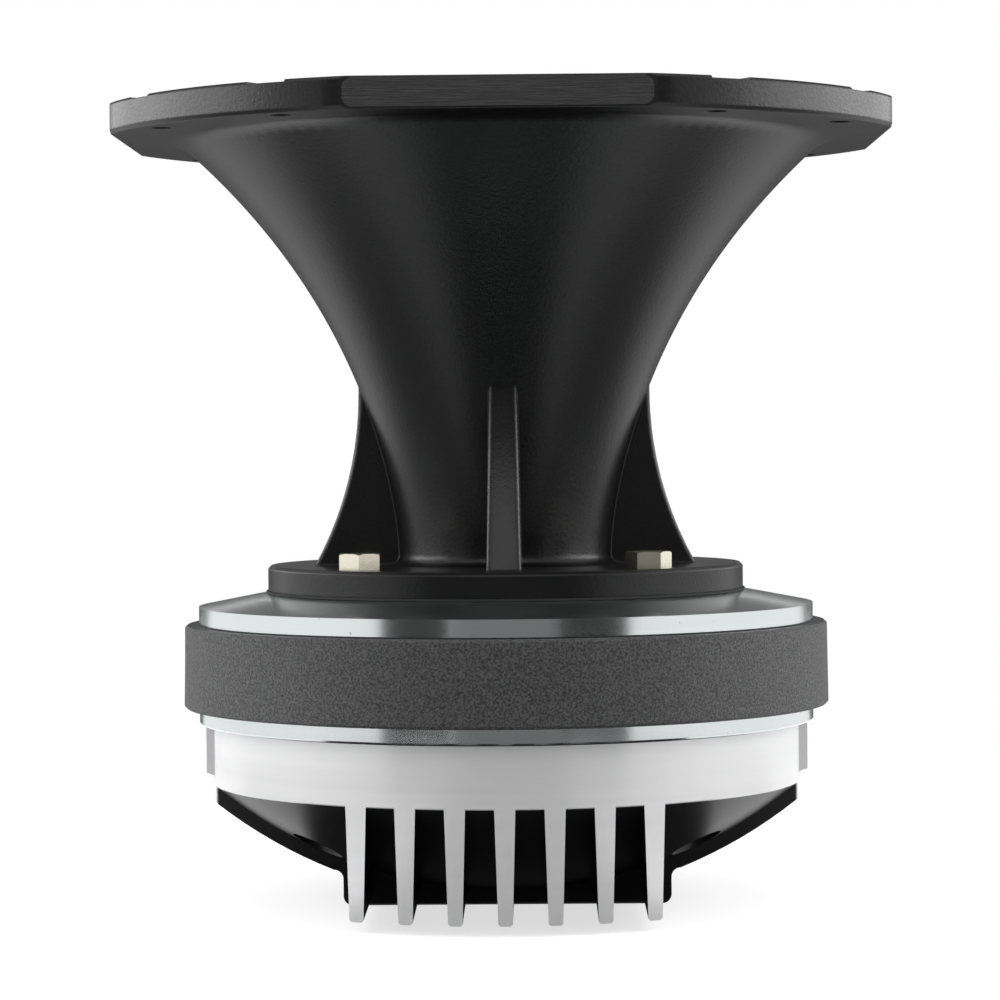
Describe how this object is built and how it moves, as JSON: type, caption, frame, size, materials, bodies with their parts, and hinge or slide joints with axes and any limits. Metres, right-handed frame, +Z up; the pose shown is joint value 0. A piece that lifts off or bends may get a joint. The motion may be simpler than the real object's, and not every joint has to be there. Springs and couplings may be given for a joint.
{
  "type": "compression driver with horn",
  "caption": "Compression driver with finned domed rear cover, ring magnet between steel plates and a ribbed round exponential horn ending in a drilled flange.",
  "frame": {"origin": "on the horn's axis, at the lowest face of the rear cover, which the driver rests on", "axes": "+Z up along the horn's axis, from the rear cover to the mouth; -Y towards the viewer, the side where the flange has its sawn edge; +Y towards the terminals; +X to the viewer's right"},
  "size_m": [0.1942, 0.1942, 0.203],
  "materials": {
    "horn_coat": "satin black powder coat on cast metal",
    "cover_coat": "black coat, turned bare at the rim and on the fin edges",
    "plate_zinc": "bluish zinc plate over turned steel",
    "bolt_zinc": "yellowish zinc plate",
    "ferrite": "ground ferrite, dull and speckled",
    "pole_steel": "turned mild steel",
    "copper": "bare copper",
    "plug_alloy": "machined",
    "foil": "thin bright foil",
    "film": "amber film",
    "clamp_alloy": "turned",
    "coil_wire": "copper-clad wire under varnish",
    "screw_black": "black oxide",
    "contact_brass": "tinned brass",
    "block_plastic": "moulded black",
    "gasket_fibre": "dark pressed fibre",
    "damping_foam": "open-cell foam"
  },
  "bodies": {
    "root": {"rear_cover": "cover_coat", "gap_plate": "plate_zinc", "magnet_ring": "ferrite", "back_plate": "plate_zinc", "pole_piece": "pole_steel", "shorting_ring": "copper", "plug_body": "plug_alloy", "plug_ring_outer": "plug_alloy", "plug_ring_inner": "plug_alloy", "plug_bullet": "plug_alloy", "diaphragm_dome": "foil", "diaphragm_surround": "film", "diaphragm_ring": "clamp_alloy", "coil_former": "film", "voice_coil": "coil_wire", "cover_screws": "screw_black", "diaphragm_screws": "bolt_zinc", "locating_pins": "pole_steel", "flange_bolts": "bolt_zinc", "lead_strip_positive": "contact_brass", "terminal_blade_positive": "contact_brass", "lead_strip_negative": "contact_brass", "terminal_blade_negative": "contact_brass", "terminal_block": "block_plastic", "terminal_screws": "bolt_zinc", "cover_gasket": "gasket_fibre", "throat_gasket": "gasket_fibre", "damping_pad": "damping_foam", "horn": "horn_coat"}
  },
  "joints": []
}
